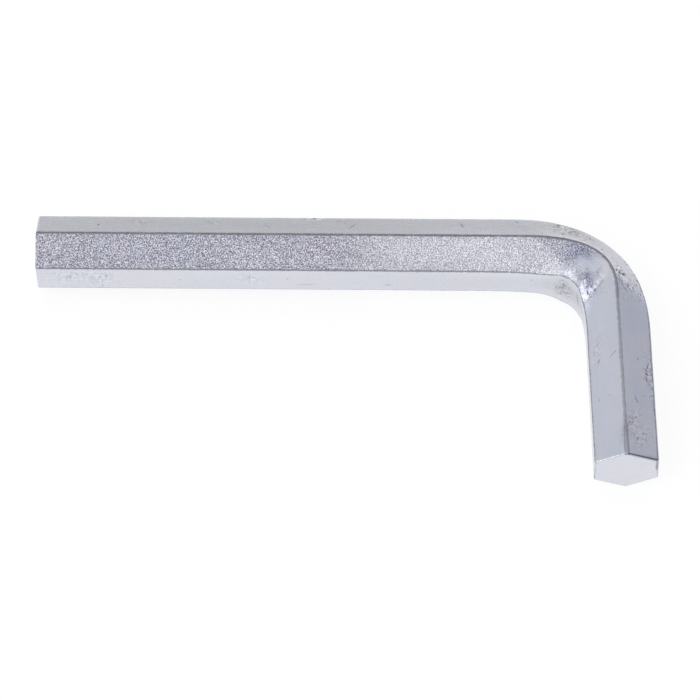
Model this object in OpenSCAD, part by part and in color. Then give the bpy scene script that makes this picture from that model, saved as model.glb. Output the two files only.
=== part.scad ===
// Hex key for socket screws: one six-sided steel bar bent to an L.
// It lies as it does on a table, on the lowest of its six long edges.
// The long arm runs along X, with the bend at +X. The short arm runs from the bend to -Y.
// The origin is the middle of its footprint, on the table.

/* [Bar] */
// Width of the bar across two opposite flats
across_flats = 8; // [6:0.1:9]
// Radius worn on the six long edges
edge_radius = 0.4; // [0.1:0.05:0.6]
// Narrow flats that make up each rounded edge
edge_steps = 3; // [2:1:4]

/* [Arms] */
// Long arm, from its cut end to the outside of the short arm
long_arm = 77.3; // [60:0.1:100]
// Short arm, from its cut end to the outside of the long arm
short_arm = 35.5; // [30:0.1:50]
// Angle between the two arms
arm_angle = 92.8; // [86:0.1:98]
// Bevel round each cut end
end_bevel = 0.25; // [0.1:0.05:0.5]
// How far the short arm's cut end is out of square, its upper edge standing proud
tip_lean = 4; // [0:0.5:6]

/* [Outer side of the bend] */
// Where the outer edges leave the long arm, back from the crossing of the centre lines
outer_start = 12.4; // [9:0.1:15]
// Where the outer edges join the short arm, down from the crossing of the centre lines
outer_finish = 12.7; // [9:0.1:15]
// How far the outer edges are drawn out into their corner
outer_fullness = 1.02; // [0.7:0.01:1.4]
// Part of their height that the outer edges lose, where the bar is stretched
outer_thinning = 0.26; // [0:0.01:0.35]

/* [Crown of the bend] */
// Where the top and bottom edges leave the long arm
crown_start = 11.1; // [9:0.1:14]
// Where the top and bottom edges join the short arm
crown_finish = 7.4; // [6:0.1:12]
// How far the top and bottom edges are drawn out into their corner
crown_fullness = 1.12; // [0.8:0.01:1.6]

/* [Inner side of the bend] */
// Where the inner edges leave the long arm
inner_start = 18; // [14:0.1:20]
// Where the inner edges join the short arm
inner_finish = 13.9; // [11:0.1:16]
// How far the inner edges are drawn out into their corner
inner_fullness = 2.56; // [1.4:0.01:3]
// Part of their height that the inner edges gain, where the bar is squeezed
inner_swelling = 0.37; // [0:0.01:0.5]

/* [Hidden] */

half_width = across_flats / 2;

// The arms seen from above, measured from the crossing of their centre lines
long_reach = long_arm - half_width;
short_reach = short_arm - half_width;
arm_lean = arm_angle - 90;
turn_angle = 180 - arm_angle;
short_along = [sin(arm_lean), -cos(arm_lean)];
short_outward = [cos(arm_lean), sin(arm_lean)];

// The straight arms end a little before the first edge turns and after the last one
bend_margin = 0.6;
bend_start = max(inner_start, crown_start, outer_start) + bend_margin;
bend_finish = max(inner_finish, crown_finish, outer_finish) + bend_margin;

// Steps along the bend, and strips across each of the six sides
bend_steps = 36;
side_strips = 3;

// Parts of the turn at which the squeezed side starts to swell, is full, starts to shrink and is
// level again
swell_from = 0.2;
swell_full = 0.46;
swell_until = 0.68;
swell_gone = 0.84;
// Part of the way from the crown to the inner edge at which the swelling is full
swell_reach = 0.85;

function mix(a, b, share) = a + (b - a) * share;

// Goes smoothly from 0 to 1 while x does, and is level before and after
function ease(x) = let(u = min(1, max(0, x))) u * u * (3 - 2 * u);

// The bar's section as [across, up] points, with its outer side at +across.
// A corner's arc begins and ends square to the two sides that it joins.
function corner_point(corner, part) =
    let(
        middle = 90 + 60 * corner,
        square_to = middle - 30 + 60 * part,
        seat = (half_width - edge_radius) / cos(30)
    )
    seat * [cos(middle), sin(middle)] + edge_radius * [cos(square_to), sin(square_to)];

section = [
    for (corner = [0:5])
        each concat(
            [for (k = [0:edge_steps]) corner_point(corner, k / edge_steps)],
            [for (k = [1:side_strips - 1])
                mix(corner_point(corner, 1), corner_point(corner + 1, 0), k / side_strips)]
        )
];

// One long edge seen from above, with t from 0 on the long arm to 1 on the short arm.
// Its straight runs point at a corner, and the fullness says how near it comes to that corner.
function edge_turn(t, across, start, finish, fullness) =
    let(
        to_long = (1 - t) * (1 - t),
        to_corner = 2 * fullness * t * (1 - t),
        to_short = t * t
    )
    (to_long * [-start, across]
        + to_corner * across * [tan(turn_angle / 2), 1]
        + to_short * (finish * short_along + across * short_outward))
    / (to_long + to_corner + to_short);

function crown_edge(t) = edge_turn(t, 0, crown_start, crown_finish, crown_fullness);
function outer_edge(t) =
    edge_turn(t, half_width, outer_start, outer_finish, outer_fullness);
function inner_edge(t) =
    edge_turn(t, -half_width, inner_start, inner_finish, inner_fullness);

// Part of the full thinning and of the full swelling that is reached at t, at a share of the way
// from the crown to the edge
function thinned(t, share) = ease(2 * t) * ease(2 - 2 * t) * share;
function swollen(t, share) =
    ease((t - swell_from) / (swell_full - swell_from))
    * ease((swell_gone - t) / (swell_gone - swell_until))
    * ease(share / swell_reach);

// A point of the section at t in the bend. Across goes from edge to edge, and its height
// grows towards the squeezed inner side and shrinks towards the stretched outer one.
function in_bend(p, t) =
    let(
        share = abs(p.x) / half_width,
        plan = mix(crown_edge(t), p.x < 0 ? inner_edge(t) : outer_edge(t), share),
        gain = p.x < 0 ? inner_swelling * swollen(t, share) : -outer_thinning * thinned(t, share)
    )
    [plan.x, plan.y, p.y * (1 + gain)];

function in_long_arm(p, run) = [-run, p.x, p.y];
function in_short_arm(p, run) =
    let(plan = run * short_along + p.x * short_outward) [plan.x, plan.y, p.y];

// The cut across the short arm, which leans with height
function short_cut(p) = short_reach + p.y * tan(tip_lean);

// The key's skin, ring after ring of the section from one cut end to the other
cut_section = section * (half_width - end_bevel) / half_width;
skin_points = concat(
    [for (p = cut_section) in_long_arm(p, long_reach)],
    [for (p = section) in_long_arm(p, long_reach - end_bevel)],
    [for (p = section) in_long_arm(p, bend_start)],
    [for (step = [0:bend_steps]) for (p = section) in_bend(p, step / bend_steps)],
    [for (p = section) in_short_arm(p, bend_finish)],
    [for (p = section) in_short_arm(p, short_cut(p) - end_bevel)],
    [for (p = cut_section) in_short_arm(p, short_cut(p))]
);
count = len(section);
rings = len(skin_points) / count;
skin_faces = concat(
    [[for (k = [0:count - 1]) k]],
    [
        for (ring = [0:rings - 2])
            for (k = [0:count - 1])
                let(a = ring * count + k, b = ring * count + (k + 1) % count)
                each [[a, a + count, b + count], [a, b + count, b]]
    ],
    [[for (k = [count - 1:-1:0]) (rings - 1) * count + k]]
);

// The footprint's middle, and the lowest edge on the table
low = [for (axis = [0:2]) min([for (p = skin_points) p[axis]])];
high = [for (axis = [0:2]) max([for (p = skin_points) p[axis]])];
to_origin = [-(low.x + high.x) / 2, -(low.y + high.y) / 2, -low.z];

// The whole key is one piece of steel
module hex_key() {
    color([0.71, 0.72, 0.75])
        translate(to_origin)
            polyhedron(skin_points, skin_faces, convexity = 4);
}

hex_key();
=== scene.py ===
import math

import bpy
from mathutils import Matrix, Vector, noise


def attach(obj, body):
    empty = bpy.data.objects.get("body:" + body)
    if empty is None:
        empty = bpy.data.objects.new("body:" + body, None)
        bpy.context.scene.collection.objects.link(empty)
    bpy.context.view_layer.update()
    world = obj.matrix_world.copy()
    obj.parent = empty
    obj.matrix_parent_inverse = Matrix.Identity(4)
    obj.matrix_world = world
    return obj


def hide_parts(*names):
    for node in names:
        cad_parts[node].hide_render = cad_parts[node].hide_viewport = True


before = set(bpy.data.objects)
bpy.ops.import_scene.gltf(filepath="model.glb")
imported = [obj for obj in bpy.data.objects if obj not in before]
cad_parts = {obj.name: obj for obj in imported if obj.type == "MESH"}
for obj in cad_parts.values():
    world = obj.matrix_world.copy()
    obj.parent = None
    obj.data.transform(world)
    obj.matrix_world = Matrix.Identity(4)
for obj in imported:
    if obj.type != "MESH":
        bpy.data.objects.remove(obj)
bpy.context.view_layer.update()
scene = bpy.context.scene


# The key: one length of six-sided steel bar, sheared off, bent cold round a former and then zinc
# plated. It lies loose on its lowest long edge. Sizes are in millimetres, from the crossing of
# the centre lines of the two arms, and the mesh is moved to the frame's origin at the end.
MM = 0.001
CROSSING = Vector((33.8856, 13.8976, 4.5548))
HALF_WIDTH = 4.0
LONG_REACH = 73.3
SHORT_REACH = 31.5
ARM_LEAN = math.radians(2.8)
TIP_LEAN = math.radians(4)

SHORT_ALONG = (math.sin(ARM_LEAN), -math.cos(ARM_LEAN))
SHORT_OUTWARD = (math.cos(ARM_LEAN), math.sin(ARM_LEAN))
CORNER_SHIFT = math.tan((math.pi / 2 - ARM_LEAN) / 2)

# Each long edge turns on its own curve: where it leaves the long arm, where it joins the
# short arm, and how near it comes to its corner
CROWN_TURN = (11.1, 7.4, 1.12)
OUTER_TURN = (12.4, 12.7, 1.02)
INNER_TURN = (18.0, 13.9, 2.56)
BEND_START = 18.6
BEND_FINISH = 14.5
# The bar is thinner where it is stretched, and swells where it is squeezed
OUTER_THINNING = 0.26
INNER_SWELLING = 0.37
SWELL_FROM = 0.20
SWELL_FULL = 0.46
SWELL_UNTIL = 0.68
SWELL_GONE = 0.84
SWELL_REACH = 0.85


def ease(x):
    u = min(1.0, max(0.0, x))
    return u * u * (3 - 2 * u)


def edge_turn(t, across, turn):
    start, finish, fullness = turn
    to_long = (1 - t) ** 2
    to_corner = 2 * fullness * t * (1 - t)
    to_short = t * t
    total = to_long + to_corner + to_short
    x = (-start * to_long + across * CORNER_SHIFT * to_corner
         + (finish * SHORT_ALONG[0] + across * SHORT_OUTWARD[0]) * to_short)
    y = (across * to_long + across * to_corner
         + (finish * SHORT_ALONG[1] + across * SHORT_OUTWARD[1]) * to_short)
    return x / total, y / total


def in_long_arm(across, up, run):
    return Vector((-run, across, up))


def in_short_arm(across, up, run):
    x = run * SHORT_ALONG[0] + across * SHORT_OUTWARD[0]
    y = run * SHORT_ALONG[1] + across * SHORT_OUTWARD[1]
    return Vector((x, y, up))


def in_bend(across, up, t):
    share = abs(across) / HALF_WIDTH
    crown = edge_turn(t, 0, CROWN_TURN)
    if across < 0:
        side = edge_turn(t, -HALF_WIDTH, INNER_TURN)
        gain = (INNER_SWELLING * ease((t - SWELL_FROM) / (SWELL_FULL - SWELL_FROM))
                * ease((SWELL_GONE - t) / (SWELL_GONE - SWELL_UNTIL))
                * ease(share / SWELL_REACH))
    else:
        side = edge_turn(t, HALF_WIDTH, OUTER_TURN)
        gain = -OUTER_THINNING * ease(2 * t) * ease(2 - 2 * t) * share
    x = crown[0] + (side[0] - crown[0]) * share
    y = crown[1] + (side[1] - crown[1]) * share
    return Vector((x, y, up * (1 + gain)))


def short_cut(up):
    return SHORT_REACH + up * math.tan(TIP_LEAN)


# The six long edges are counted round the bar from the top one, towards the inner side
TOP_EDGE = 0
INNER_EDGE = 1
LOWEST_EDGE = 3
OUTER_EDGE = 5
EDGE_STRIPS = 6
SIDE_STRIPS = 15
RING_SIZE = 6 * (EDGE_STRIPS + SIDE_STRIPS)
SIDE_PITCH = 2 * HALF_WIDTH / math.sqrt(3)
HALF_SIXTH = math.radians(30)
# The edges' radius varies a little along the bar, and the top edge is worn rounder in steps:
# by how much, from how far along the bar, and over what length
EDGE_RADIUS = 0.4
RADIUS_VARIES = 0.06
RADIUS_WAVES = 0.45
RADIUS_SEED = 0.5
EDGES_APART = 9.0
TOP_WEAR = ((0.08, 68, 12), (0.16, 96, 4))


def worn_radii(s):
    radii = []
    for edge in range(6):
        radius = EDGE_RADIUS
        if edge != LOWEST_EDGE:
            waves = Vector((s * RADIUS_WAVES, edge * EDGES_APART, RADIUS_SEED))
            radius += RADIUS_VARIES * noise.noise(waves)
        if edge == TOP_EDGE:
            radius += sum(gain * ease((s - start) / over) for gain, start, over in TOP_WEAR)
        radii.append(radius)
    return radii


def edge_angle(edge):
    return math.radians(90 + 60 * edge)


# The point of a rounded edge where the skin faces the given way
def on_edge(edge, radius, faces_to):
    seat = (HALF_WIDTH - radius) / math.cos(HALF_SIXTH)
    return (seat * math.cos(edge_angle(edge)) + radius * math.cos(faces_to),
            seat * math.sin(edge_angle(edge)) + radius * math.sin(faces_to))


def bar_section(radii):
    points = []
    for edge in range(6):
        for k in range(EDGE_STRIPS + 1):
            faces_to = edge_angle(edge) + HALF_SIXTH * (2 * k / EDGE_STRIPS - 1)
            points.append(on_edge(edge, radii[edge], faces_to))
        a = points[-1]
        b = on_edge(edge + 1, radii[(edge + 1) % 6], edge_angle(edge) + HALF_SIXTH)
        for k in range(1, SIDE_STRIPS):
            share = k / SIDE_STRIPS
            points.append((a[0] + (b[0] - a[0]) * share, a[1] + (b[1] - a[1]) * share))
    return points


# For each point of the section: its way round the skin from the top edge, positive towards
# the inner side, and its distance to the middle of the nearest long edge
HALF_EDGE = EDGE_RADIUS * HALF_SIXTH
round_skin = []
to_edge = []
for edge in range(6):
    for k in range(EDGE_STRIPS + SIDE_STRIPS):
        if k <= EDGE_STRIPS:
            off = HALF_EDGE * (2 * k / EDGE_STRIPS - 1)
        else:
            off = HALF_EDGE + (SIDE_PITCH - 2 * HALF_EDGE) * (k - EDGE_STRIPS) / SIDE_STRIPS
        way = edge * SIDE_PITCH + off
        round_skin.append(way if way <= 3 * SIDE_PITCH else way - 6 * SIDE_PITCH)
        to_edge.append(min(abs(off), SIDE_PITCH - off))

# The bevel round each sheared end. The short end's is broad above and narrow below, and changes
# from the one to the other as the height rises.
ROUND_STEPS = 4
FREE_BEVEL = 0.25
SHORT_BEVEL_ABOVE = 0.34
SHORT_BEVEL_BELOW = 0.12
BEVEL_CHANGES_AT = -2
BEVEL_CHANGES_OVER = 3


def bevel_ring(step, bevel):
    turn = math.pi / 2 * step / ROUND_STEPS
    depth = bevel * (1 - math.cos(turn))
    scale = 1 - bevel * (1 - math.sin(turn)) / HALF_WIDTH
    return depth, scale


# The rings of the skin run from the middle of the free end's face, over its bevel and along the
# long arm, round the bend and down the short arm to the middle of the short end's face. The
# arms' even rings stop a margin before each end.
STEP = 0.17
FACE_RINGS = (0.2, 0.4, 0.6, 0.8, 0.92)
FREE_MARGIN = 0.4
SHORT_MARGIN = 0.9
rings = []
first_section = bar_section(worn_radii(0))
for share in FACE_RINGS:
    scale = (1 - FREE_BEVEL / HALF_WIDTH) * share
    rings.append([in_long_arm(x * scale, z * scale, LONG_REACH) for x, z in first_section])
for step in range(ROUND_STEPS + 1):
    depth, scale = bevel_ring(step, FREE_BEVEL)
    rings.append([in_long_arm(x * scale, z * scale, LONG_REACH - depth)
                  for x, z in first_section])
cut_rings = len(rings)
straight = LONG_REACH - FREE_MARGIN - BEND_START
steps = round(straight / STEP)
for step in range(steps + 1):
    run = LONG_REACH - FREE_MARGIN - straight * step / steps
    rings.append([in_long_arm(x, z, run) for x, z in bar_section(worn_radii(LONG_REACH - run))])
# How much skin the way into the bend, the bend and the way out of it take up
LEAD_IN = 7.5
BEND_RUN = 13.4
LEAD_OUT = 7.1
LEAD_STEPS = 36
BEND_STEPS = 140
passed = LONG_REACH - BEND_START
for step in range(1, LEAD_STEPS):
    share = step / LEAD_STEPS
    shape = bar_section(worn_radii(passed + LEAD_IN * share))
    rings.append([in_long_arm(x, z, BEND_START).lerp(in_bend(x, z, 0), share)
                  for x, z in shape])
passed += LEAD_IN
for step in range(BEND_STEPS + 1):
    t = step / BEND_STEPS
    shape = bar_section(worn_radii(passed + BEND_RUN * t))
    rings.append([in_bend(x, z, t) for x, z in shape])
passed += BEND_RUN
for step in range(1, LEAD_STEPS):
    share = step / LEAD_STEPS
    shape = bar_section(worn_radii(passed + LEAD_OUT * share))
    rings.append([in_bend(x, z, 1).lerp(in_short_arm(x, z, BEND_FINISH), share)
                  for x, z in shape])
passed += LEAD_OUT
straight = SHORT_REACH - SHORT_MARGIN - BEND_FINISH
steps = round(straight / STEP)
for step in range(steps + 1):
    run = straight * step / steps
    rings.append([in_short_arm(x, z, BEND_FINISH + run)
                  for x, z in bar_section(worn_radii(passed + run))])

# The short end leans, so its rings turn from square to slanting before its bevel and its face
SHORT_END_AT = 105
last_section = bar_section(worn_radii(SHORT_END_AT))
last_bevels = [SHORT_BEVEL_BELOW + (SHORT_BEVEL_ABOVE - SHORT_BEVEL_BELOW)
               * ease((z - BEVEL_CHANGES_AT) / BEVEL_CHANGES_OVER) for x, z in last_section]
bevel_rings = []
for step in range(ROUND_STEPS, -1, -1):
    ring = []
    for (x, z), bevel in zip(last_section, last_bevels):
        depth, scale = bevel_ring(step, bevel)
        ring.append(in_short_arm(x * scale, z * scale, short_cut(z * scale) - depth))
    bevel_rings.append(ring)
SLANT_STEPS = 6
square_ring = rings[-1]
for step in range(1, SLANT_STEPS):
    share = step / SLANT_STEPS
    rings.append([a.lerp(b, share) for a, b in zip(square_ring, bevel_rings[0])])
last_cut = len(rings)
rings += bevel_rings
for share in reversed(FACE_RINGS):
    ring = []
    for (x, z), bevel in zip(last_section, last_bevels):
        scale = (1 - bevel / HALF_WIDTH) * share
        ring.append(in_short_arm(x * scale, z * scale, short_cut(z * scale)))
    rings.append(ring)

# How far each point lies along the bar's skin from the free end of the long arm
along = [[0.0] * RING_SIZE for ring in rings[:cut_rings]]
for ring in range(cut_rings, len(rings)):
    if ring > last_cut + ROUND_STEPS:
        along.append(along[-1])
    else:
        along.append([along[-1][k] + (rings[ring][k] - rings[ring - 1][k]).length
                      for k in range(RING_SIZE)])


# Rises from 0 to 1 from a place along the bar, and falls back to 0 up to another
def between(s, start, rise, end, fall):
    return ease((s - start) / rise) * ease((end - s) / fall)


# Dents knocked into it in use, mostly on its edges. Each has its place along the bar and round
# it from the top edge, its half length along the bar, its half width and its depth. It fades
# out as a bell curve, which ends at the reach.
KNOCKS = [
    (34.6, -4.45, 0.22, 0.30, 0.06),
    (35.4, -4.40, 0.20, 0.30, 0.05),
    (78.1, -4.45, 0.35, 0.35, 0.09),
    (81.0, -4.30, 0.30, 0.35, 0.08),
    (81.9, -4.45, 0.30, 0.30, 0.08),
    (92.0, -4.45, 0.30, 0.35, 0.08),
    (98.8, -4.40, 0.30, 0.35, 0.07),
    (92.7, 4.55, 0.30, 0.30, 0.07),
    (97.5, -0.15, 0.35, 0.45, 0.07),
    (76.9, -1.70, 0.35, 0.40, 0.06),
    (82.9, 3.25, 0.35, 0.35, 0.05),
    (72.2, -1.90, 0.30, 0.35, 0.05),
    (68.3, -3.60, 0.30, 0.35, 0.05),
    (13.0, 0.05, 0.30, 0.25, 0.04),
    (41.5, 4.60, 0.25, 0.25, 0.04),
    (20.0, -9.20, 0.40, 0.35, 0.07),
    (88.0, 9.20, 0.40, 0.35, 0.07),
    (55.0, 9.10, 0.30, 0.30, 0.05),
]
DENT_REACH = 6
# The flats aren't quite even: they wave a little on the arms and more in the bend
WAVES_ON_ARM = 0.004
WAVES_IN_BEND = 0.022
WAVES_ALONG = 0.5
WAVES_ROUND = 0.55
WAVES_SEED = 7.0
WAVY_PLACE = (60, 6, 84, 6)
for ring in range(cut_rings, last_cut):
    middle = sum(rings[ring], Vector()) / RING_SIZE
    for k in range(RING_SIZE):
        s = along[ring][k]
        way = round_skin[k]
        waves = WAVES_ON_ARM + (WAVES_IN_BEND - WAVES_ON_ARM) * between(s, *WAVY_PLACE)
        depth = waves * noise.noise(Vector((s * WAVES_ALONG, way * WAVES_ROUND, WAVES_SEED)))
        for place, across, half_length, half_width, dent in KNOCKS:
            off = ((s - place) / half_length) ** 2 + ((way - across) / half_width) ** 2
            if off < DENT_REACH:
                depth += dent * math.exp(-off)
        inward = middle - rings[ring][k]
        rings[ring][k] = rings[ring][k] + inward.normalized() * depth

points = [p for ring in rings for p in ring]
faces = []
for ring in range(len(rings) - 1):
    for k in range(RING_SIZE):
        a = ring * RING_SIZE + k
        b = ring * RING_SIZE + (k + 1) % RING_SIZE
        faces.append((a, b, b + RING_SIZE, a + RING_SIZE))
first_middle = len(points)
points.append(in_long_arm(0, 0, LONG_REACH))
points.append(in_short_arm(0, 0, SHORT_REACH))
last_ring = (len(rings) - 1) * RING_SIZE
for k in range(RING_SIZE):
    faces.append((first_middle, (k + 1) % RING_SIZE, k))
    faces.append((first_middle + 1, last_ring + k, last_ring + (k + 1) % RING_SIZE))

key_mesh = bpy.data.meshes.new("plated_key")
key_mesh.from_pydata([(p + CROSSING) * MM for p in points], [], faces)
key_mesh.shade_smooth()

# What the plating looks like at each point, by its place along the bar and its way round from
# the top edge: the upper inner side is at 0 to 4.6 mm, the inner flat at 4.6 to 9.2 mm and the
# upper outer side at 0 to -4.6 mm. A patch fades out as a bell curve too.
PATCH_REACH = 9


def near(s, way, middle, reach):
    off = ((s - middle[0]) / reach[0]) ** 2 + ((way - middle[1]) / reach[1]) ** 2
    return math.exp(-off) if off < PATCH_REACH else 0.0


# Patches of painted shade and painted highlight, standing in for the reflections in the bend and
# on the sides: place, reach along and round, and change
SHADE_AND_HIGHLIGHT_PATCHES = [
    ((69.0, 1.1), (2.4, 1.2), -0.21),
    ((69.4, 3.85), (0.8, 0.35), -0.20),
    ((71.0, 3.15), (1.0, 0.65), -0.54),
    ((68.0, 3.3), (1.2, 0.7), -0.14),
    ((73.05, 2.15), (0.6, 0.8), -0.30),
    ((72.3, 2.9), (0.5, 0.5), -0.34),
    ((57.0, 1.9), (8.0, 2.8), 0.16),
    ((76.5, 2.2), (4.0, 2.6), 0.04),
    ((65.4, 3.7), (1.8, 0.8), 0.08),
    ((66.1, 3.5), (0.9, 0.6), 0.12),
    ((69.3, 3.75), (0.8, 0.4), -0.12),
    ((69.6, 4.25), (4.0, 0.22), 0.22),
    ((71.9, 4.0), (1.7, 0.7), 0.30),
    ((68.2, 6.6), (4.2, 1.6), -0.19),
    ((66.9, 6.4), (0.9, 1.0), -0.12),
    ((68.6, -2.6), (4.6, 1.8), -0.19),
    ((76.0, -2.2), (5.0, 2.2), -0.08),
    ((28.0, -2.3), (26.0, 2.2), -0.08),
    ((27.0, 2.3), (10.0, 3.0), 0.06),
    ((86.0, 2.3), (13.0, 3.0), 0.05),
    ((55.0, 7.0), (9.0, 2.2), -0.06),
    ((71.0, 6.6), (1.8, 2.0), -0.10),
    ((98.0, 0.0), (1.2, 0.5), -0.25),
]
# The upper outer side has painted shade: a little all over, and most in a band of painted shadow
# along the short end's cut, which is broader the further it is from the top edge
OUTER_PAINTED_SHADE = 0.08
CUT_PAINTED_SHADOW = 0.36
CUT_BAND = 0.4
CUT_BAND_GROWS = 0.7
# The grained sides are cloudy
CLOUDY = 0.09
CLOUDS_ALONG = 0.16
CLOUDS_ROUND = 0.35
CLOUDS_SEED = 3.0


def shade_at(s, way, grain, to_cut):
    side = way / SIDE_PITCH
    clouds = Vector((s * CLOUDS_ALONG, way * CLOUDS_ROUND, CLOUDS_SEED))
    shade = 1.0 + CLOUDY * grain * noise.noise(clouds)
    # painted shade and painted highlight from the patches
    for middle, reach, change in SHADE_AND_HIGHLIGHT_PATCHES:
        shade += change * near(s, way, middle, reach)
    # painted shade on the upper outer side, and painted shadow along the cut
    if -1 <= side < 0:
        band = CUT_BAND - CUT_BAND_GROWS * side
        shade -= OUTER_PAINTED_SHADE + CUT_PAINTED_SHADOW * (1 - ease(to_cut / band))
    return shade


# Patches full of small pits: place, reach along and round, and how close the pits stand
PITTED = [
    ((67.3, -3.2), (2.4, 1.4), 0.90),
    ((71.5, -1.2), (3.5, 0.9), 0.50),
    ((70.9, 3.3), (1.3, 0.6), 0.80),
    ((67.9, 3.1), (1.3, 0.8), 0.40),
    ((72.6, 2.3), (0.9, 1.0), 0.35),
    ((76.4, -1.2), (1.3, 0.9), 1.20),
    ((79.6, -4.2), (2.6, 0.5), 0.80),
    ((79.0, -2.0), (1.3, 1.0), 0.75),
    ((72.4, 3.5), (0.9, 0.6), 0.55),
    ((67.0, 6.8), (1.1, 1.2), 0.75),
    ((81.5, -3.8), (1.5, 0.6), 0.50),
    ((92.6, -3.7), (2.2, 0.7), 0.45),
    ((98.2, -1.0), (1.6, 1.2), 0.55),
    ((101.5, -2.4), (1.6, 1.2), 0.40),
    ((81.3, 3.4), (1.7, 0.8), 0.35),
    ((97.0, -4.3), (1.8, 0.35), 0.60),
    ((94.5, -4.2), (1.5, 0.4), 0.45),
    ((21.8, -3.2), (0.8, 0.6), 0.50),
    ((29.2, -1.9), (0.4, 0.5), 0.60),
    ((34.9, -4.2), (1.2, 0.4), 0.90),
    ((39.0, -3.6), (1.5, 0.7), 0.35),
    ((73.4, 1.7), (1.6, 0.6), 0.30),
    ((4.5, 6.6), (3.0, 1.2), 0.30),
    ((8.3, 6.6), (1.5, 1.6), 0.30),
    ((27.0, 6.6), (1.2, 0.8), 0.40),
    ((13.0, -3.0), (1.2, 0.7), 0.55),
]
FEW_PITS = 0.008


def pitted_at(s, way):
    return FEW_PITS + sum(amount * near(s, way, middle, reach)
                          for middle, reach, amount in PITTED)


# Patches tinted bluer, over the painted shade of the bend's dark zone and dark corner: place, and
# reach along and round
BLUISH = [
    ((69.0, 1.2), (2.4, 1.1)),
    ((71.2, 3.0), (1.5, 1.0)),
]

# The slanted sides above and below the inner flat are grained. The grain ends in the bend at a
# slanting, ragged limit, and goes on faintly along the inner edge. The other sides have only a
# trace of it.
GRAIN_TRACE = 0.05
TRACE_FROM = 60
TRACE_OVER = 7
GRAIN_END = 73.0
GRAIN_SLANT = 1.6
GRAIN_SLANT_FROM = 0.3
GRAIN_RAGGED = 0.7
RAGGED_ALONG = 0.6
RAGGED_ROUND = 1.3
RAGGED_SEED = 4.0
GRAIN_FADE = 2.4
EDGE_GRAIN = 0.42
EDGE_GRAIN_FROM = 2.7
EDGE_GRAIN_OVER = 0.8
EDGE_GRAIN_END = 73.5
EDGE_GRAIN_FADE = 2


def grain_at(s, way):
    side = way / SIDE_PITCH
    if not (0 <= side <= 1 or 2 <= side <= 3):
        return GRAIN_TRACE * (1 - ease((s - TRACE_FROM) / TRACE_OVER))
    from_top = way if side <= 1 else 3 * SIDE_PITCH - way
    ragged = noise.noise(Vector((way * RAGGED_ROUND, s * RAGGED_ALONG, RAGGED_SEED)))
    grain_end = GRAIN_END - GRAIN_SLANT * max(0, from_top - GRAIN_SLANT_FROM)
    grain_end += GRAIN_RAGGED * ragged
    faint = (EDGE_GRAIN * ease((from_top - EDGE_GRAIN_FROM) / EDGE_GRAIN_OVER)
             * ease((EDGE_GRAIN_END - s) / EDGE_GRAIN_FADE))
    return max(ease((grain_end - s) / GRAIN_FADE), faint)


# Painted reflection: the grain is paler from the middle of the arm on, though near the bend only
# towards the inner edge, where it stands in for the edge of a window's reflection
PALE_FROM = 35
PALE_OVER = 11
PALE_BY_BEND = 67
PALE_SLANT = 0.8
PALE_LOW = 2.4
PALE_FADE = 1.6


def painted_reflection_at(s, way):
    height = way - PALE_LOW + (PALE_BY_BEND - s) * PALE_SLANT
    return ease((s - PALE_FROM) / PALE_OVER) * ease(height / PALE_FADE)


# The dark line along each long edge, partly wear and partly painted dark reflection of the
# rounded edge: its half width and how grey it is. The top edge's is broader in the bend, on the
# short arm and at the cut, and the inner edge's is narrower in the bend.
SHORT_ARM_FROM = 72
SHORT_ARM_OVER = 14
TOP_LINE = 0.14
TOP_LINE_IN_BEND = 0.03
TOP_LINE_ON_SHORT = 0.02
TOP_LINE_AT_CUT = 0.07
TOP_LINE_BEND = (62, 4, 82, 6)
AT_CUT_FROM = 97
AT_CUT_OVER = 2
TOP_PALER_ON_SHORT = 0.32
INNER_LINE = 0.12
INNER_LINE_LOSS = 0.05
INNER_LINE_BEND = (58, 4, 76, 4)
OTHER_LINE = 0.15
OUTER_LINE_ON_SHORT = 0.08
OTHER_LINE_GREY = 0.85


def worn_and_shaded_line(s, way):
    edge = round(way / SIDE_PITCH) % 6
    on_short = ease((s - SHORT_ARM_FROM) / SHORT_ARM_OVER)
    if edge == TOP_EDGE:
        width = (TOP_LINE + TOP_LINE_IN_BEND * between(s, *TOP_LINE_BEND)
                 + TOP_LINE_ON_SHORT * on_short
                 + TOP_LINE_AT_CUT * ease((s - AT_CUT_FROM) / AT_CUT_OVER))
        return width, 1 - TOP_PALER_ON_SHORT * on_short
    if edge == INNER_EDGE:
        return INNER_LINE - INNER_LINE_LOSS * between(s, *INNER_LINE_BEND), OTHER_LINE_GREY
    if edge == OUTER_EDGE:
        return OTHER_LINE + OUTER_LINE_ON_SHORT * on_short, OTHER_LINE_GREY
    return OTHER_LINE, OTHER_LINE_GREY


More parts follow.
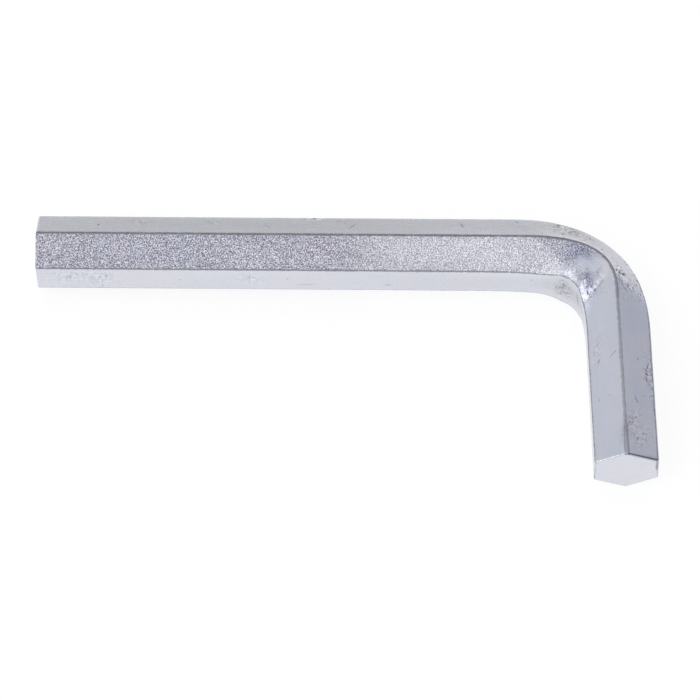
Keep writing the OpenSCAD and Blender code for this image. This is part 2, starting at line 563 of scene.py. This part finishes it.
# The faces of the cuts have no edges near, apart from a thin dark line of painted shade round the
# short end's lower half, where the bevel is narrow
NO_EDGE_NEAR = 1.5
ON_THIN_LINE = 0.17
BY_THIN_LINE = 0.60
values = {"bar_along": [], "bar_round": [], "to_edge": [], "line_width": [], "line_grey": [],
          "grained": [], "painted_reflection": [], "shade": [], "pitted": [], "bluish": []}
for ring in range(len(rings)):
    for k in range(RING_SIZE):
        s = along[ring][k]
        way = round_skin[k]
        cut_face = ring < cut_rings - ROUND_STEPS or ring >= last_cut + ROUND_STEPS
        below = abs(way) > SIDE_PITCH
        if below and last_cut <= ring <= last_cut + ROUND_STEPS:
            edge_off = ON_THIN_LINE
        elif below and ring == last_cut + ROUND_STEPS + 1:
            edge_off = BY_THIN_LINE
        elif cut_face:
            edge_off = NO_EDGE_NEAR
        else:
            edge_off = to_edge[k]
        line_width, line_grey = worn_and_shaded_line(s, way)
        grain = grain_at(s, way)
        values["bar_along"].append(s)
        values["bar_round"].append(way)
        values["to_edge"].append(edge_off)
        values["line_width"].append(line_width)
        values["line_grey"].append(line_grey)
        values["grained"].append(0.0 if cut_face else grain)
        values["painted_reflection"].append(painted_reflection_at(s, way))
        values["shade"].append(1.0 if cut_face else shade_at(s, way, grain, along[-1][k] - s))
        values["pitted"].append(0.0 if cut_face else pitted_at(s, way))
        values["bluish"].append(max(near(s, way, *patch) for patch in BLUISH))
for name, column in values.items():
    column += [column[0], column[-1]]
    attribute = key_mesh.attributes.new(name, "FLOAT", "POINT")
    attribute.data.foreach_set("value", column)

key = bpy.data.objects.new("plated_key", key_mesh)
scene.collection.objects.link(key)

# Its plating: pale zinc, satin, a little blue, with a fine grain on the slanted sides of the long
# arm and dark edge lines that are partly wear and partly painted dark reflection
zinc = bpy.data.materials.new("zinc_plated_steel")
zinc.use_nodes = True
nodes = zinc.node_tree.nodes
links = zinc.node_tree.links
nodes.clear()


def node(kind, **settings):
    made = nodes.new("ShaderNode" + kind)
    for name, value in settings.items():
        setattr(made, name, value)
    return made


def feed(source, target):
    links.new(source, target)


def math_node(operation, first, second):
    made = node("Math", operation=operation)
    for k, value in enumerate((first, second)):
        if isinstance(value, (int, float)):
            made.inputs[k].default_value = value
        else:
            feed(value, made.inputs[k])
    return made.outputs[0]


def skin_value(name):
    return node("Attribute", attribute_name=name).outputs["Fac"]


def ramp(source, low, high, top=1.0):
    made = node("MapRange", interpolation_type="SMOOTHSTEP")
    feed(source, made.inputs["Value"])
    made.inputs["From Min"].default_value = low
    made.inputs["From Max"].default_value = high
    made.inputs["To Max"].default_value = top
    return made.outputs["Result"]


def span(source, levels, results):
    made = node("MapRange")
    feed(source, made.inputs["Value"])
    made.inputs["From Min"].default_value = levels[0]
    made.inputs["From Max"].default_value = levels[1]
    made.inputs["To Min"].default_value = results[0]
    made.inputs["To Max"].default_value = results[1]
    return made.outputs["Result"]


# A Mix node's colours are its sockets 6 and 7, and its mixed colour is its output 2
def blend(amount, first, second):
    made = node("Mix", data_type="RGBA", clamp_result=True)
    feed(amount, made.inputs[0])
    for socket, value in ((made.inputs[6], first), (made.inputs[7], second)):
        if isinstance(value, tuple):
            socket.default_value = (*value, 1)
        else:
            feed(value, socket)
    return made.outputs[2]


def times(source, factors):
    made = node("VectorMath", operation="MULTIPLY")
    feed(source, made.inputs[0])
    made.inputs[1].default_value = factors
    return made.outputs["Vector"]


def dim(source, factor):
    made = node("VectorMath", operation="SCALE")
    feed(source, made.inputs[0])
    feed(factor, made.inputs["Scale"])
    return made.outputs["Vector"]


on_key = node("TexCoord").outputs["Object"]
SPECKLE_ROUGHNESS = 0.6


def speckle(scale, detail, source=on_key):
    made = node("TexNoise")
    made.inputs["Scale"].default_value = scale
    made.inputs["Detail"].default_value = detail
    made.inputs["Roughness"].default_value = SPECKLE_ROUGHNESS
    feed(source, made.inputs["Vector"])
    return made.outputs["Fac"]


# A noise as a swing to either side of nothing
NOISE_MIDDLE = 0.5


def swing(source, amount):
    return math_node("MULTIPLY", math_node("SUBTRACT", source, NOISE_MIDDLE), amount)


# The zinc is mottled from cool to warm, and so are the light grains. Each ramp runs between two
# levels of its noise, and the noises' scales are in waves a metre.
ZINC_COOL = (0.68, 0.705, 0.775)
ZINC_WARM = (0.715, 0.715, 0.765)
ZINC_RAMP = (0.35, 0.65)
GRAIN_DARK = (0.14, 0.135, 0.205)
GRAIN_COOL = (0.878, 0.89, 0.967)
GRAIN_WARM = (0.902, 0.88, 0.948)
WARMTH_RAMP = (0.42, 0.58)
GRAIN_RAMP = (0.33, 0.67)
REFLECTED_GRAIN_DARK = (0.37, 0.365, 0.47)
REFLECTED_GRAIN_LIGHT = (1.0, 1.0, 1.0)
GRAIN_SCALE = 6400
MOTTLE_SCALE = 260
GRAIN_STRENGTH = 0.85

grained = skin_value("grained")
painted_reflection = skin_value("painted_reflection")
grain = speckle(GRAIN_SCALE, detail=1)
mottle = speckle(MOTTLE_SCALE, detail=2)
plain = blend(ramp(mottle, *ZINC_RAMP), ZINC_COOL, ZINC_WARM)
light_grain = blend(ramp(mottle, *WARMTH_RAMP), GRAIN_COOL, GRAIN_WARM)
# The granules are painted paler where the painted reflection lies
granules = blend(ramp(grain, *GRAIN_RAMP), blend(painted_reflection, GRAIN_DARK, REFLECTED_GRAIN_DARK),
                 blend(painted_reflection, light_grain, REFLECTED_GRAIN_LIGHT))
colour = blend(math_node("MULTIPLY", grained, GRAIN_STRENGTH), plain, granules)

# Faint lines that run along the bar, from the die that it was drawn through
DRAWN_LINES = (0.22, 5.5, 1)
DRAWN_RAMP = (0.3, 0.7)
DRAWN_SHADES = (0.965, 1.03)
bar_place = node("CombineXYZ")
feed(skin_value("bar_along"), bar_place.inputs["X"])
feed(skin_value("bar_round"), bar_place.inputs["Y"])
bar_place = bar_place.outputs[0]
drawn = speckle(1, detail=3, source=times(bar_place, DRAWN_LINES))
colour = dim(colour, span(drawn, DRAWN_RAMP, DRAWN_SHADES))
# the shade carries the painted shade and painted highlight of the patches, and the clouds of the
# grain
colour = dim(colour, skin_value("shade"))
BLUER = (0.95, 0.97, 1.08)
colour = blend(skin_value("bluish"), colour, times(colour, BLUER))

# Torn and dirty where it is pitted
TEAR_SCALE = 1900
TEAR_RAMP = (0.35, 0.65)
TEAR_SHADES = (-0.5, 0.3)
FLECKS = 2.4
ragged = speckle(TEAR_SCALE, detail=2)
torn = span(ragged, TEAR_RAMP, TEAR_SHADES)
torn = math_node("ADD", torn, swing(grain, FLECKS))
torn = math_node("MULTIPLY", torn, skin_value("pitted"))
colour = dim(colour, math_node("ADD", 1.0, torn))

# The dark line along each long edge, partly wear and partly painted dark reflection, with a
# ragged outline
EDGE_GREY = (0.28, 0.28, 0.32)
LINE_RAGGED = 0.28
LINE_RIM = (-0.07, 0.09)
edge_way = math_node("ADD", skin_value("to_edge"), swing(ragged, LINE_RAGGED))
edge_way = math_node("SUBTRACT", edge_way, skin_value("line_width"))
edge_wear_and_shade = math_node("MULTIPLY", skin_value("line_grey"),
                      math_node("SUBTRACT", 1.0, ramp(edge_way, *LINE_RIM)))
colour = blend(edge_wear_and_shade, colour, EDGE_GREY)

# Dark marks, painted dark both for their dirt and for the shade in their hollows, whose outlines
# wander a little
WANDER = 0.16
WANDER_SCALE = 2600
wandering = node("TexNoise")
wandering.inputs["Scale"].default_value = WANDER_SCALE
feed(on_key, wandering.inputs["Vector"])
wander = node("VectorMath", operation="SCALE")
feed(wandering.outputs["Color"], wander.inputs[0])
wander.inputs["Scale"].default_value = WANDER
mark_place = node("VectorMath", operation="ADD")
feed(bar_place, mark_place.inputs[0])
feed(wander.outputs[0], mark_place.inputs[1])
mark_place = mark_place.outputs[0]

# Single pits: place along and round the bar, radius, and how dark
PITS = [
    (7.6, -2.2, 0.16, 0.7),
    (60.8, -3.6, 0.16, 0.5),
    (64.0, -0.9, 0.11, 0.7),
    (66.1, -4.1, 0.16, 0.8),
    (66.6, -1.4, 0.14, 0.8),
    (68.3, -3.6, 0.15, 0.8),
    (70.4, -3.2, 0.16, 0.7),
    (72.2, -1.9, 0.17, 0.9),
    (75.4, -0.6, 0.18, 0.9),
    (76.1, -1.0, 0.20, 0.95),
    (78.8, -1.9, 0.18, 0.9),
    (79.8, -2.8, 0.17, 0.85),
    (81.7, -3.9, 0.17, 0.85),
    (90.0, -2.4, 0.14, 0.7),
    (97.1, -0.6, 0.13, 0.6),
    (100.9, -1.6, 0.14, 0.8),
    (101.6, -2.9, 0.12, 0.6),
    (66.9, 6.1, 0.17, 0.6),
    (66.5, 7.9, 0.17, 0.6),
    (71.9, 3.7, 0.13, 0.7),
    (73.1, 2.8, 0.14, 0.7),
    (82.9, 3.2, 0.18, 0.5),
    (35.0, -4.35, 0.22, 0.7),
]
MARK_RIM = 1.3
MARK_CORE = 0.5
dark_marks = 0.0
for s, way, radius, dark in PITS:
    off = node("VectorMath", operation="DISTANCE")
    feed(mark_place, off.inputs[0])
    off.inputs[1].default_value = (s + WANDER / 2, way + WANDER / 2, WANDER / 2)
    mark = ramp(off.outputs["Value"], MARK_RIM * radius, MARK_CORE * radius, dark)
    dark_marks = math_node("MAXIMUM", mark, dark_marks)
# Single scratches: where they start and end, half width, and how dark
SCRATCHES = [
    (39.4, -1.5, 40.3, -2.8, 0.08, 0.6),
    (53.6, -3.2, 54.1, -2.0, 0.11, 0.5),
    (76.5, -1.4, 77.1, -2.1, 0.18, 0.95),
    (84.9, 1.6, 85.6, 0.6, 0.08, 0.6),
    (92.0, -4.1, 92.8, -3.4, 0.11, 0.8),
    (92.9, -3.4, 93.6, -3.8, 0.10, 0.8),
    (93.3, -3.4, 94.7, -3.7, 0.10, 0.7),
    (94.6, -1.5, 96.3, -2.1, 0.08, 0.6),
    (69.2, 6.0, 69.6, 7.4, 0.13, 0.5),
    (26.9, 6.1, 26.9, 7.0, 0.09, 0.4),
    (33.0, 8.0, 35.2, 7.9, 0.09, 0.3),
    (44.0, 7.9, 44.9, 7.9, 0.09, 0.4),
]
for s, way, to_s, to_way, half_width, dark in SCRATCHES:
    half_length = math.hypot(to_s - s, to_way - way) / 2 + half_width
    spot = node("Mapping", vector_type="TEXTURE")
    feed(mark_place, spot.inputs["Vector"])
    spot.inputs["Location"].default_value = (
        (s + to_s + WANDER) / 2, (way + to_way + WANDER) / 2, WANDER / 2)
    spot.inputs["Rotation"].default_value = (0, 0, math.atan2(to_way - way, to_s - s))
    spot.inputs["Scale"].default_value = (half_length, half_width, 1)
    off = node("VectorMath", operation="LENGTH")
    feed(spot.outputs[0], off.inputs[0])
    mark = ramp(off.outputs["Value"], MARK_RIM, MARK_CORE, dark)
    dark_marks = math_node("MAXIMUM", mark, dark_marks)

# Small pits of different sizes, thick where the bar was squeezed, stretched or knocked. A
# cell has a pit if its chance falls below the share of the skin that is pitted there.
PITS_PER_MM = 2.2
PIT_SMALLEST = 0.10
PIT_GROWS = 0.26
PIT_PALEST = 0.4
PIT_DARKENS = 0.5
PIT_RIM = (0.5, 1.2)
PIT_GREY = (0.17, 0.17, 0.20)
pit_cells = node("TexVoronoi")
feed(mark_place, pit_cells.inputs["Vector"])
pit_cells.inputs["Scale"].default_value = PITS_PER_MM
chance = node("SeparateColor")
feed(pit_cells.outputs["Color"], chance.inputs[0])
chosen = math_node("LESS_THAN", chance.outputs[0], skin_value("pitted"))
pit_size = math_node("ADD", math_node("MULTIPLY", chance.outputs[1], PIT_GROWS), PIT_SMALLEST)
pit_share = math_node("DIVIDE", pit_cells.outputs["Distance"], pit_size)
pits = math_node("MULTIPLY", chosen, math_node("SUBTRACT", 1.0, ramp(pit_share, *PIT_RIM)))
pit_dark = math_node("ADD", math_node("MULTIPLY", chance.outputs[2], PIT_DARKENS), PIT_PALEST)
pits = math_node("MULTIPLY", pits, pit_dark)
dark_marks = math_node("MAXIMUM", pits, dark_marks)
colour = blend(dark_marks, colour, PIT_GREY)

# Satin, a little rougher where it is grained or marked, and uneven in patches
GRAIN_RANGE = (0, 1)
SATIN_RANGE = (0.27, 0.38)
SATIN_UNEVEN = 0.16
MARKS_ROUGHER = 0.2
roughness = span(grained, GRAIN_RANGE, SATIN_RANGE)
roughness = math_node("ADD", roughness, swing(mottle, SATIN_UNEVEN))
roughness = math_node("ADD", roughness, math_node("MULTIPLY", dark_marks, MARKS_ROUGHER))

# The grain stands up, the marks are sunk in, and the drawn lines can just be felt
GRAIN_HEIGHT = 0.14
MARK_DEPTH = 0.06
DRAWN_HEIGHT = 0.01
grain_bump = node("Bump")
grain_bump.inputs["Distance"].default_value = GRAIN_HEIGHT * MM
feed(grain, grain_bump.inputs["Height"])
feed(grained, grain_bump.inputs["Strength"])
mark_bump = node("Bump", invert=True)
mark_bump.inputs["Distance"].default_value = MARK_DEPTH * MM
feed(dark_marks, mark_bump.inputs["Height"])
feed(grain_bump.outputs["Normal"], mark_bump.inputs["Normal"])
drawn_bump = node("Bump")
drawn_bump.inputs["Distance"].default_value = DRAWN_HEIGHT * MM
feed(drawn, drawn_bump.inputs["Height"])
feed(mark_bump.outputs["Normal"], drawn_bump.inputs["Normal"])

metal = node("BsdfPrincipled")
metal.inputs["Metallic"].default_value = 1.0
feed(colour, metal.inputs["Base Color"])
feed(roughness, metal.inputs["Roughness"])
feed(drawn_bump.outputs["Normal"], metal.inputs["Normal"])
feed(metal.outputs["BSDF"], node("OutputMaterial").inputs["Surface"])
key_mesh.materials.append(zinc)

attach(key, "root")
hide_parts("hex_key")


# The table: a flat sheet of white board that the key lies on, and no part of the key. It glows a
# little to the eye and in the metal, so that it stays white, and keeps a soft shadow.
TABLE_REACH = 3.0
BOARD = (0.9, 0.9, 0.9, 1)
GLOW = 1.12
GLOW_SHARE = 0.75
table_mesh = bpy.data.meshes.new("table_top")
table_mesh.from_pydata(
    [(-TABLE_REACH, -TABLE_REACH, 0), (TABLE_REACH, -TABLE_REACH, 0),
     (TABLE_REACH, TABLE_REACH, 0), (-TABLE_REACH, TABLE_REACH, 0)],
    [], [(0, 1, 2, 3)])
table = bpy.data.objects.new("table_top", table_mesh)
scene.collection.objects.link(table)
white = bpy.data.materials.new("white_table")
white.use_nodes = True
nodes = white.node_tree.nodes
links = white.node_tree.links
nodes.clear()
rays = node("LightPath")
seen = math_node("MAXIMUM", rays.outputs["Is Camera Ray"], rays.outputs["Is Glossy Ray"])
seen = math_node("MAXIMUM", seen, rays.outputs["Is Transmission Ray"])
matte = node("BsdfDiffuse")
matte.inputs["Color"].default_value = BOARD
glow = node("Emission")
glow.inputs["Strength"].default_value = GLOW
sheet = node("MixShader")
feed(math_node("MULTIPLY", seen, GLOW_SHARE), sheet.inputs["Fac"])
feed(matte.outputs[0], sheet.inputs[1])
feed(glow.outputs[0], sheet.inputs[2])
feed(sheet.outputs[0], node("OutputMaterial").inputs["Surface"])
table_mesh.materials.append(white)


# The light: a pale studio room, whose walls and ceiling are lighter and darker in places, and two
# soft windows to the left. Each wall has its direction, where it is full and where it fades out
# as cosines, and its colour.
ROOM = (0.64, 0.64, 0.66)
WALLS = [
    ((0.78, 0.53, 0.33), 0.95, 0.45, (0.60, 0.61, 0.665)),
    ((-0.05, 0.99, 0.10), 0.98, 0.85, (0.42, 0.415, 0.39)),
    ((-0.85, 0.20, 0.45), 0.97, 0.75, (0.70, 0.72, 0.765)),
    ((-0.18, 0.42, 0.89), 0.98, 0.86, (0.83, 0.83, 0.85)),
    ((0.79, -0.56, 0.26), 0.91, 0.76, (0.14, 0.14, 0.16)),
    ((-0.04, -0.48, 0.88), 0.97, 0.87, (0.95, 0.95, 0.985)),
]
room = bpy.data.worlds.new("pale_room")
scene.world = room
room.use_nodes = True
nodes = room.node_tree.nodes
links = room.node_tree.links
nodes.clear()
direction = node("TexCoord").outputs["Generated"]
tone = ROOM
for towards, full, fades, wall in WALLS:
    facing = node("VectorMath", operation="DOT_PRODUCT")
    feed(direction, facing.inputs[0])
    facing.inputs[1].default_value = towards
    tone = blend(ramp(facing.outputs["Value"], fades, full), tone, wall)
background = node("Background")
feed(tone, background.inputs["Color"])
feed(background.outputs[0], node("OutputWorld").inputs["Surface"])

# Each window has its place and its width and height in metres, and its power in watts
WINDOWS = [
    ("high_window", (-0.29, -0.40, 0.87), 0.84, 0.46, 1.1),
    ("low_window", (-0.79, -0.51, 0.34), 0.3, 0.2, 0.75),
]
for name, stands_at, wide, high, watts in WINDOWS:
    window = bpy.data.lights.new(name, "AREA")
    window.shape = "RECTANGLE"
    window.size = wide
    window.size_y = high
    window.energy = watts
    opening = bpy.data.objects.new(name, window)
    opening.location = Vector(stands_at)
    opening.rotation_euler = (-opening.location).to_track_quat("-Z", "Y").to_euler()
    scene.collection.objects.link(opening)


# The camera: a long lens on a stand above the short arm's side, as in the photograph. It looks
# at a point a little beside the middle of the key and is turned slightly on its axis.
FOCUS = Vector((0.7456, -0.416, 4.5548)) * MM
AZIMUTH = math.radians(3.5)
ELEVATION = math.radians(58.6031)
ROLL = math.radians(-2.5312)
DISTANCE = 0.64
back = Vector((math.sin(AZIMUTH) * math.cos(ELEVATION),
               -math.cos(AZIMUTH) * math.cos(ELEVATION), math.sin(ELEVATION)))
level = Vector((math.cos(AZIMUTH), math.sin(AZIMUTH), 0))
upward = back.cross(level)
right = level * math.cos(ROLL) + upward * math.sin(ROLL)
top = upward * math.cos(ROLL) - level * math.sin(ROLL)
stand = FOCUS + back * DISTANCE
FOCAL_LENGTH = 261.35
SENSOR_WIDTH = 36
lens = bpy.data.cameras.new("camera")
lens.lens = FOCAL_LENGTH
lens.sensor_width = SENSOR_WIDTH
camera = bpy.data.objects.new("camera", lens)
camera.matrix_world = Matrix((
    (right.x, top.x, back.x, stand.x),
    (right.y, top.y, back.y, stand.y),
    (right.z, top.z, back.z, stand.z),
    (0, 0, 0, 1),
))
scene.collection.objects.link(camera)
scene.camera = camera
scene.view_settings.view_transform = "Standard"
